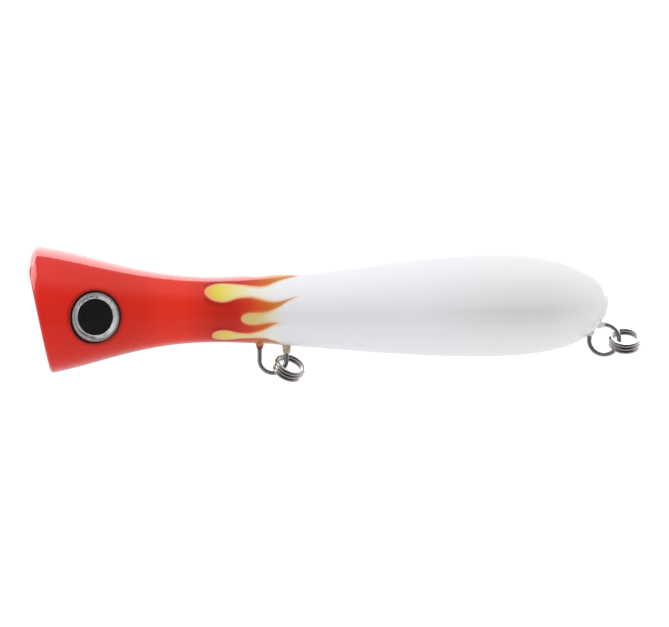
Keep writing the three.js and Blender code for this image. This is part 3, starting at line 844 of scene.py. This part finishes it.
def eye_point(side, lift=0.0, forward=0.0):
    reach = math.sqrt(radius_at(EYE["station"]) ** 2 - EYE["z"] ** 2)
    turn = math.radians(EYE["turn"])
    across = Vector((math.cos(turn), -side * math.sin(turn), 0))
    centre = Vector((x_of(EYE["station"]), side * reach, EYE["z"]))
    return centre + eye_axis(side) * lift - across * forward


def eye_matrix(side, lift=0.0, forward=0.0):
    return standing(eye_axis(side), eye_point(side, lift, forward))


def skin_height(matrix, r, a):
    """How far the skin stands off an eye's plane, along the eye's axis, at a polar place on that plane."""
    low, high = -6.0, 4.0
    for _ in range(40):
        middle = (low + high) / 2
        p = matrix @ polar(r, a, middle)
        station = p.x - LIP_X
        outside = math.hypot(p.y, p.z - camber_at(station)) - radius_at(station)
        low, high = (low, middle) if outside > 0 else (middle, high)
    return (low + high) / 2


def eye_socket(side, mouth_material, wall_material):
    """A flat-bottomed round pocket whose mouth is eased where it meets the curved skin."""
    matrix = eye_matrix(side, forward=EYE["forward"])
    segments, wall, ease = 96, EYE["socket"], EYE["fillet"]
    rows = [(wall, None, -EYE["depth"])]
    for degrees in (0, 12, 24, 36, 48, 60, 70):
        a = math.radians(degrees)
        rows.append((wall + ease * (1 - math.cos(a)), ease * (math.sin(a) - 1), 0.0))
    rows.append((rows[-1][0] + 0.9, 0.33, 0.0))
    rows.append((rows[-1][0], None, 8.0))
    rings = []
    for r, above, fixed in rows:
        heights = [fixed if above is None else skin_height(matrix, r, a) + above for a in turns(segments)]
        rings.append([matrix @ polar(r, a, h) for a, h in zip(turns(segments), heights)])
    socket = loft("socket", rings, matrix @ Vector((0, 0, -EYE["depth"])), matrix @ Vector((0, 0, 8.0)))
    socket.data.materials.append(mouth_material)
    socket.data.materials.append(wall_material)
    to_plane = matrix.inverted()
    for face in socket.data.polygons:
        middle = to_plane @ face.center
        if math.hypot(middle.x, middle.y) < wall:
            face.material_index = 1
    return socket


def pocket(node, make=rod):
    """Room for a piece that lies along the body."""
    start, end, z, radius = lying(node)
    return make("pocket", start - FIT, end + FIT, z, radius + FIT)


def oval_tube(name, start, end, z, radius, bore=None, steps=14):
    """A stadium-shaped bar round the two strands, which lie one above the other. It may have a bore."""

    def ring(x, r):
        upper = arc((0, z + STRAND), r, 0, 180, steps + 1)
        lower = arc((0, z - STRAND), r, 180, 360, steps + 1)
        return [Vector((x, y, height)) for y, height in upper + lower]

    edge = min(0.12, (end - start) / 8)
    outer = [(start, radius - edge), (start + edge, radius), (end - edge, radius), (end, radius - edge)]
    if bore is None:
        return loft(name, [ring(x, r) for x, r in outer])
    rows = outer + [(end, bore + edge), (end - edge, bore), (start + edge, bore), (start, bore + edge)]
    return tunnel(name, [ring(x, r) for x, r in rows])


def tunnel(name, rings):
    """A closed surface whose last ring joins back to its first, such as a sleeve."""
    size, count = len(rings[0]), len(rings)
    faces = []
    for i in range(count):
        for j in range(size):
            k, n = (j + 1) % size, (i + 1) % count
            faces.append((i * size + j, i * size + k, n * size + k, n * size + j))
    return make_object(name, [v for ring in rings for v in ring], faces)


def peg(place, radius, length):
    station, z = place
    profile = ((0, -1), (radius, -1), (radius, length - 0.15), (radius - 0.15, length), (0, length))
    return revolve("peg", profile, 32, standing((0, 1, 0), (x_of(station), 0, z)))


def body_halves(paint_material, plastic_material, painted_shadow_material):
    body = skin()
    body.data.materials.append(paint_material)
    combine(body, [mouth_cutter()], "DIFFERENCE", paint_material)
    ribbed = cavity()
    slabs = [block("rib", (x_of(at), -FAR, -FAR), (x_of(at + length), FAR, FAR)) for at, length in RIBS]
    combine(ribbed, slabs, "DIFFERENCE", plastic_material)
    slot_start, slot_end = x_of(NOSE_SLOT["start"]), x_of(CAVITY[0] + 1)
    hollows = [
        ribbed,
        HARNESS.tube("channel", WIRE + CHANNEL_CLEARANCE, 20),
        oval_tube("slot", slot_start, slot_end, 0, WIRE + NOSE_SLOT["clearance"]),
        pocket("belly_ballast"),
        pocket("tail_ballast"),
        pocket("rattle_tube"),
        pocket("nose_crimp_sleeve", oval_tube),
        pocket("tail_crimp_sleeve", oval_tube),
    ]
    combine(body, hollows, "DIFFERENCE", plastic_material)
    # The walls of the eye sockets take the painted shadow.
    combine(body, [eye_socket(side, paint_material, painted_shadow_material) for side in (-1, 1)], "DIFFERENCE")

    front, back = LIP_X - FAR, BODY_HIGH.x + FAR
    right = copy_of(body, "right")
    combine(body, [block("away", (front, -SEAM, -FAR), (back, FAR, FAR))], "DIFFERENCE", plastic_material)
    combine(right, [block("away", (front, -FAR, -FAR), (back, SEAM, FAR))], "DIFFERENCE", plastic_material)
    pegs = [peg(place, PEG_RADIUS, PEG_LENGTH) for place in PEGS]
    combine(body, pegs, "UNION", plastic_material)
    holes = [peg(place, PEG_RADIUS + PEG_CLEARANCE, PEG_LENGTH + PEG_CLEARANCE) for place in PEGS]
    combine(right, holes, "DIFFERENCE", plastic_material)
    return body, right


def build_body():
    left, right = body_halves(paint(), raw_plastic(), socket_painted_shadow())
    finished(left, "body_half_left", "shell_left", sharp=40)
    finished(right, "body_half_right", "shell_right", sharp=40)


# ---- Hardware ----
def build_wire():
    steel = metal("drawn_wire", (176, 176, 177), (140, 140, 141), (0.28, 0.42), (300.0, 3000.0, 3000.0))
    wire = HARNESS.tube("wire", WIRE)
    finished(wire, "through_wire", "wire_harness", steel)
    brass = metal("crimp_brass", (206, 160, 84), (150, 108, 52), (0.22, 0.42), (500.0, 2400.0, 2400.0))
    for end in ("nose", "tail"):
        node = end + "_crimp_sleeve"
        start, stop, z, radius = lying(node)
        sleeve = oval_tube("sleeve", start, stop, z, radius, WIRE + 0.08, 18)
        pinch(sleeve, start, stop, z)
        finished(sleeve, end + "_crimp", node, brass)


def pinch(sleeve, start, end, z):
    """Two crimped waists round the sleeve's outside."""
    bm = bmesh.new()
    bm.from_mesh(sleeve.data)
    long_edges = [e for e in bm.edges if abs(e.verts[0].co.x - e.verts[1].co.x) > 2]
    bmesh.ops.subdivide_edges(bm, edges=long_edges, cuts=30, use_grid_fill=True)
    for v in bm.verts:
        share = (v.co.x - start) / (end - start)
        outside = math.hypot(v.co.y, max(abs(v.co.z - z) - STRAND, 0)) > WIRE + 0.3
        if outside:
            squeeze = 1 - 0.14 * sum(math.exp(-(((share - c) / 0.07) ** 2)) for c in (0.3, 0.7))
            v.co.y *= squeeze
            v.co.z = z + (v.co.z - z) * (1 + (1 - squeeze) * 0.2)
    bm.to_mesh(sleeve.data)
    bm.free()


RING = {"radius": 3.72, "wide": 1.05, "thick": 0.95, "gap": 0.08, "turns": 2.36}
RING_SKEW = 37.0
RINGS = (  # place, loop, reach from the loop's centre, degrees below the tailward direction
    ("belly", BELLY_LOOP, 4.58, 25.4),
    ("tail", TAIL_LOOP, 5.28, 2.2),
)


def coil(name, loop, distance, below):
    """A split ring: a rounded strip wound into a coil, its overlap on the low side, hung on a hook loop."""
    reach = Vector((math.cos(math.radians(below)), 0, -math.sin(math.radians(below))))
    skew = math.radians(RING_SKEW)
    flat = Vector((0, 1, 0)).cross(reach)
    axis = flat * -math.cos(skew) + Vector((0, -1, 0)) * math.sin(skew)
    overlap = reach.cross(axis)
    centre = loop + reach * distance
    wide, thick, corner = RING["wide"] / 2, RING["thick"] / 2, 0.4
    section = []
    for u, v, first in ((1, 1, 0), (-1, 1, 90), (-1, -1, 180), (1, -1, 270)):
        section += arc((u * (wide - corner), v * (thick - corner)), corner, first, first + 90, 6)
    sweep = RING["turns"] * 2 * math.pi
    steps = round(RING["turns"] * 90)
    pitch = (RING["thick"] + RING["gap"]) / (2 * math.pi)

    def ring(angle, shrink):
        points = []
        for u, v in section:
            r = RING["radius"] + u * shrink
            along = v * shrink + pitch * angle
            outward = overlap * math.cos(angle) - reach * math.sin(angle)
            points.append(centre + outward * r + axis * along)
        return points

    ease = 0.03
    angles = [-sweep / 2 + sweep * i / steps for i in range(steps + 1)]
    rings = [ring(angles[0], 0.8)] + [ring(angles[0] + ease, 1.0)]
    rings += [ring(a, 1.0) for a in angles[1:-1]]
    rings += [ring(angles[-1] - ease, 1.0), ring(angles[-1], 0.8)]
    return loft(name, rings)


def build_rings():
    chrome = nickel()
    for place, *hang in RINGS:
        made = coil("ring", *hang)
        name, node = place + "_ring", place + "_split_ring"
        finished(made, name, node, chrome, name, 30)


# ---- Eyes ----
BEZEL_SINK = 0.7
EYE_RADIUS, RIM, PUPIL = 6.35, 5.95, 4.7
PUPIL_TOP = -1.35


def spun(name, matrix, profile, segments=128):
    """A ring: spins a closed run of (radius, height) pairs round an eye's axis."""
    return tunnel(name, [[matrix @ polar(r, a, h) for a in turns(segments)] for r, h in profile])


def bezel(side):
    """The silver ring: a rolled rim, a dished band of foil, and a fine raised bead round the pupil."""
    profile = [(PUPIL, -2.3), (EYE_RADIUS, -2.3)]
    roll = (EYE_RADIUS - RIM) / 2
    profile += arc((EYE_RADIUS - roll, -0.24), roll, 0, 180, 10, roll * 1.2)
    profile += [(RIM - 0.03, -0.32), (RIM - 0.14, -0.42), (RIM - 0.5, -0.72), (PUPIL + 0.3, -1.06)]
    bead = 0.13
    profile += arc((PUPIL + bead, -1.12), bead, 0, 180, 7)
    profile.append((PUPIL, -1.4))
    return spun("bezel", eye_matrix(side, -BEZEL_SINK), profile)


def pupil(side):
    edge = PUPIL - 0.05
    profile = [(0, -2.3), (edge, -2.3), (edge, PUPIL_TOP)]
    profile += [(edge * k, PUPIL_TOP + 0.1 * (1 - k * k)) for k in (0.97, 0.9, 0.75, 0.5, 0.25)]
    profile += [(0, PUPIL_TOP + 0.1)]
    return revolve("pupil", profile, 96, eye_matrix(side, -BEZEL_SINK))


def lens(side):
    """A clear, slightly domed cover over the foil and the pupil, resting just clear of both."""
    gap = 0.04
    profile = [(0, PUPIL_TOP + 0.1 + gap)]
    profile += [(PUPIL * k, PUPIL_TOP + 0.1 * (1 - k * k) + gap) for k in (0.25, 0.5, 0.75, 0.9)]
    profile += [(PUPIL - 0.06, PUPIL_TOP + 0.08), (PUPIL + 0.02, -0.94), (PUPIL + 0.26, -0.94)]
    profile += [(PUPIL + 0.36, -0.98), (RIM - 0.5, -0.64), (RIM - 0.17, -0.36), (RIM - 0.08, -0.26)]
    profile += [(RIM - 0.05, -0.16), (RIM - 0.1, -0.05)]
    shares = (0.965, 0.93, 0.88, 0.8, 0.7, 0.6, 0.5, 0.35, 0.2, 0.1)
    profile += [(RIM * k, 0.3 * (1 - k * k) + 0.02) for k in shares]
    profile += [(0, 0.32)]
    return revolve("lens", profile, 96, eye_matrix(side, -BEZEL_SINK))


def build_eyes():
    silver, black = foil(), pupil_black()
    resin = clear("lens_resin", (1.0, 1.0, 1.0, 1.0), 0.0, 1.45)
    for word, side in (("left", -1), ("right", 1)):
        finished(bezel(side), "eye_ring_" + word, "eye_bezel_" + word, silver)
        finished(pupil(side), "eye_disc_" + word, "eye_pupil_" + word, black)
        finished(lens(side), "eye_dome_" + word, "eye_lens_" + word, resin, sharp=50)


# ---- Seals where the wire leaves the body ----
def skin_crossings():
    """Where along the wire it passes the skin behind the head, each with the sign of the way out."""
    total = sum(math.dist(a[:2], b[:2]) for a, b in zip(HARNESS.stops, HARNESS.stops[1:]))
    found, last_depth = [], None
    for length in np.arange(0, total, 0.02):
        x, z, _ = HARNESS.at(length)
        station = x - LIP_X
        depth = abs(z - camber_at(station)) - radius_at(station) if station < BODY_HIGH.x - LIP_X else 1.0
        if last_depth is not None and depth * last_depth < 0 and station > CAVITY[0]:
            found.append((length, 1 if depth > 0 else -1))
        last_depth = depth
    return found


SEAL_FOOT = 0.9  # how far each seal reaches back under the skin


def bead(crossing, outline, lean):
    """A hand-run blob of epoxy round the wire: (distance out, radius) pairs, filled in between and made
    uneven.
    """
    start, way = crossing
    heights, radii = zip(*outline)
    count, segments = 22, 40
    rings = []
    for i in range(count + 1):
        h = -SEAL_FOOT + (heights[-1] + SEAL_FOOT) * i / count
        x, z, heading = HARNESS.at(start + way * h)
        across = Vector((-math.sin(heading), 0, math.cos(heading)))
        radius = float(np.interp(h, heights, radii))
        ring = []
        for a in turns(segments):
            wobble = 1 + 0.05 * math.sin(2 * a + lean) + 0.03 * math.sin(3 * a + 2.1 * lean + h)
            r = max(WIRE + 0.02, radius * wobble)
            ring.append(Vector((x, 0, z)) + across * (r * math.cos(a)) + Vector((0, r * math.sin(a), 0)))
        rings.append(ring)
    return loft("bead", rings)


SEALS = (  # in the order the wire runs: place, lean, slot, then (distance out, radius) pairs
    ("belly", "front", 0.4, "red", (0, 1.08), (0.3, 1.02), (0.7, 0.9), (1, 0.79), (1.3, 0.68), (1.45, 0.62)),
    ("belly", "rear", 1.7, "pale", (0, 1.12), (0.4, 1.02), (0.9, 0.96), (1.6, 0.92), (2, 0.82), (2.15, 0.63)),
    ("tail", "upper", 2.6, "pale", (0, 1.0), (0.3, 0.85), (0.7, 0.72), (1.1, 0.64), (1.3, 0.62)),
    ("tail", "lower", 3.3, "pale", (0, 0.85), (0.15, 0.75), (0.35, 0.67), (0.6, 0.62)),
)


def build_seals():
    red = epoxy("seal_red", ((134, 30, 20), (84, 18, 14)))
    pale = epoxy("seal_pale", ((206, 190, 160), (168, 150, 122)), ((228, 228, 228), (206, 206, 207)))
    for crossing, (end, leg, lean, tone, *outline) in zip(skin_crossings(), SEALS):
        name, node, slot = f"{end}_seal_{leg}", f"{end}_wire_seal_{leg}", "seal_" + tone
        finished(bead(crossing, outline, lean), name, node, red if tone == "red" else pale, sharp=60)
    finished(mouth_bead(), "mouth_seal", "mouth_wire_seal", red, sharp=60)


def mouth_bead():
    low, high = box_mm("mouth_wire_seal")
    matrix = standing((-1, 0, 0), (high.x + 0.5, 0, 0))
    thick = high.x - low.x + 0.6
    rows = ((2.35, 0.0), (2.4, 0.5), (2.3, 0.8), (2.0, 1.1), (1.6, 1.3), (1.0, 1.38), (0.5, 1.4))
    rings = []
    for r, h in rows:
        wobbles = [(a, 1 + 0.04 * math.sin(2 * a + 0.8) + 0.03 * math.sin(5 * a)) for a in turns(48)]
        rings.append([matrix @ polar(r * wobble, a, h * thick / 1.4) for a, wobble in wobbles])
    return loft("bead", rings, matrix @ Vector(), matrix @ Vector((0, 0, thick)))


# ---- Rattle and ballast ----
def build_insides():
    glass = clear("rattle_glass", srgb(236, 246, 242), 0.0, 1.47)
    start, end, z, radius = lying("rattle_tube")
    length, wall = end - start, 0.7
    profile = [(0, 0), (radius - 0.5, 0), (radius - 0.15, 0.15), (radius, 0.5), (radius, length - 0.2)]
    profile += [(radius - 0.1, length), (radius - wall + 0.1, length), (radius - wall, length - 0.15)]
    profile += [(radius - wall, wall + 0.3), (radius - wall - 0.3, wall), (0, wall)]
    tube = revolve("tube", profile, 72, standing(AFT, (start, 0, z)))
    finished(tube, "rattle_glass_tube", "rattle_tube", glass)

    start, end, z, radius = lying("rattle_plug")
    length = end - start
    profile = [(0, 0), (radius - 0.2, 0), (radius, 0.2), (radius, 0.7), (radius - 0.12, 0.85), (radius, 1.0)]
    profile += [(radius, length - 0.15), (radius - 0.15, length), (0, length)]
    plug = revolve("plug", profile, 56, standing(AFT, (start, 0, z)))
    finished(plug, "rattle_tube_plug", "rattle_plug", rubber())

    steel = metal("ball_steel", (205, 205, 206), (170, 170, 172), (0.05, 0.16), (400.0, 400.0, 400.0), 0.05)
    for number, word in enumerate(("front", "middle", "rear"), 1):
        low, high = box_mm("rattle_ball_" + word)
        middle, radius = (low + high) / 2, (high.x - low.x) / 2
        ball = revolve("ball", arc((0, 0), radius, -90, 90, 33), 64, Matrix.Translation(middle))
        body = f"rattle_ball_{number}"
        finished(ball, "ball_" + word, "rattle_ball_" + word, steel, body)

    brass = metal("turned_brass", (204, 162, 92), (160, 118, 58), (0.22, 0.4), (2600.0, 200.0, 200.0), 0.3)
    for place in ("belly", "tail"):
        node = place + "_ballast"
        start, end, z, radius = lying(node)
        length = end - start
        corner = [(radius - 0.6, 0), (radius - 0.08, 0.52), (radius, 0.7)]
        profile = [(0, 0), *corner, *((r, length - h) for r, h in reversed(corner)), (0, length)]
        slug = revolve("slug", profile, 72, standing(AFT, (start, 0, z)))
        finished(slug, place + "_weight", node, brass)


# ---- Stage ----
VIEW_WIDTH = 0.173
VIEW_CENTRE = (0.07387, 0.0, -0.00129)
LENS, SENSOR = 800.0, 36.0
TENT_FRONT, TENT_WALL = 0.1, 1.0
OPENING_TURN = 18.0  # the tent is open towards the camera, and a little to its right
FLOOR = 0.8


def make_camera():
    data = bpy.data.cameras.new("camera")
    data.lens, data.sensor_width = LENS, SENSOR
    distance = VIEW_WIDTH * LENS / SENSOR
    data.clip_start, data.clip_end = 0.05, 20.0
    camera = bpy.data.objects.new("camera", data)
    camera.location = Vector(VIEW_CENTRE) - Vector((0, distance, 0))
    camera.rotation_euler = (math.radians(90), 0, 0)
    bpy.context.scene.collection.objects.link(camera)
    bpy.context.scene.camera = camera


def area_light(name, azimuth, elevation, distance, width, height, power, kind):
    """A soft panel that faces the lure, for reflections or for shading. Azimuth 0 is behind the lure."""
    a, e = math.radians(azimuth), math.radians(elevation)
    towards = Vector((math.sin(a) * math.cos(e), math.cos(a) * math.cos(e), math.sin(e)))
    data = bpy.data.lights.new(name, "AREA")
    data.shape = "RECTANGLE"
    data.size, data.size_y = width, height
    data.energy = power
    light = bpy.data.objects.new(name, data)
    light.location = Vector(VIEW_CENTRE) + towards * distance
    light.rotation_euler = towards.to_track_quat("Z", "Y").to_euler()
    light.visible_camera = False
    light.visible_diffuse = kind == "diffuse"
    light.visible_glossy = kind == "glossy"
    light.visible_transmission = kind == "glossy"
    bpy.context.scene.collection.objects.link(light)


def make_world():
    """White to the camera; to the lure, a white tent that is open and dim only towards the camera."""
    world = bpy.data.worlds.new("studio")
    bpy.context.scene.world = world
    g = Graph("studio", world)
    turn = math.radians(OPENING_TURN)
    outlook = g.node("TexCoord").outputs["Generated"]
    opening = (math.sin(turn), -math.cos(turn), 0.0)
    facing = g.node("VectorMath", {0: outlook, 1: opening}, operation="DOT_PRODUCT").outputs["Value"]
    tent = g.ease(facing, 0.97, 0.55, TENT_FRONT, TENT_WALL)
    soft = g.node("Background", {0: (0.99, 0.99, 1.0, 1.0), 1: tent})
    plain = g.node("Background", {0: grey(1.0), 1: 1.05})
    to_camera = g.node("LightPath").outputs["Is Camera Ray"]
    g.finish(g.node("MixShader", {0: to_camera, 1: soft.outputs[0], 2: plain.outputs[0]}))


def make_floor():
    """White paper, seen as plain white. Its reflection darkens towards the camera, as the tent does."""
    size, depth = 3.0, -0.055
    corners = [(-size, -size, depth), (size, -size, depth), (size, size, depth), (-size, size, depth)]
    floor = make_object("floor", corners, [(0, 1, 2, 3)])
    g = Graph("pale_floor")
    share = g.map(g.axes()[1], -0.12, 0.05)
    tone = g.mix(share, grey(0.1), grey(FLOOR))
    tone = g.mix(g.times(g.noise(3.0), 0.04), tone, (0.7, 0.7, 0.72, 1.0))
    path = g.node("LightPath").outputs
    evened = g.times(path["Is Diffuse Ray"], g.map(share, 0.0, 1.0, FLOOR + 0.03, 0.13))
    glow = g.plus(path["Is Camera Ray"], evened)
    grain = g.bump(g.noise(300.0), 0.05, 0.0005)
    paper = {"Base Color": tone, "Roughness": 0.9, "Normal": grain, "Specular IOR Level": 0.0}
    g.surface({**paper, "Emission Color": grey(1.0), "Emission Strength": glow})
    floor.data.materials.append(g.see_through(g.node("NewGeometry").outputs["Backfacing"]))


def make_stage():
    make_world()
    make_floor()
    area_light("top_softbox", 0, 40, 0.9, 2.2, 1.3, 51.0, "glossy")
    area_light("side_softbox", -100, 40, 0.9, 0.85, 0.8, 13.0, "glossy")
    area_light("fill", 180, 55, 1.1, 1.4, 1.0, 4.0, "diffuse")
    make_camera()
    bpy.context.scene.view_settings.view_transform = "Standard"


build_body()
build_wire()
build_rings()
build_eyes()
build_seals()
build_insides()
make_stage()
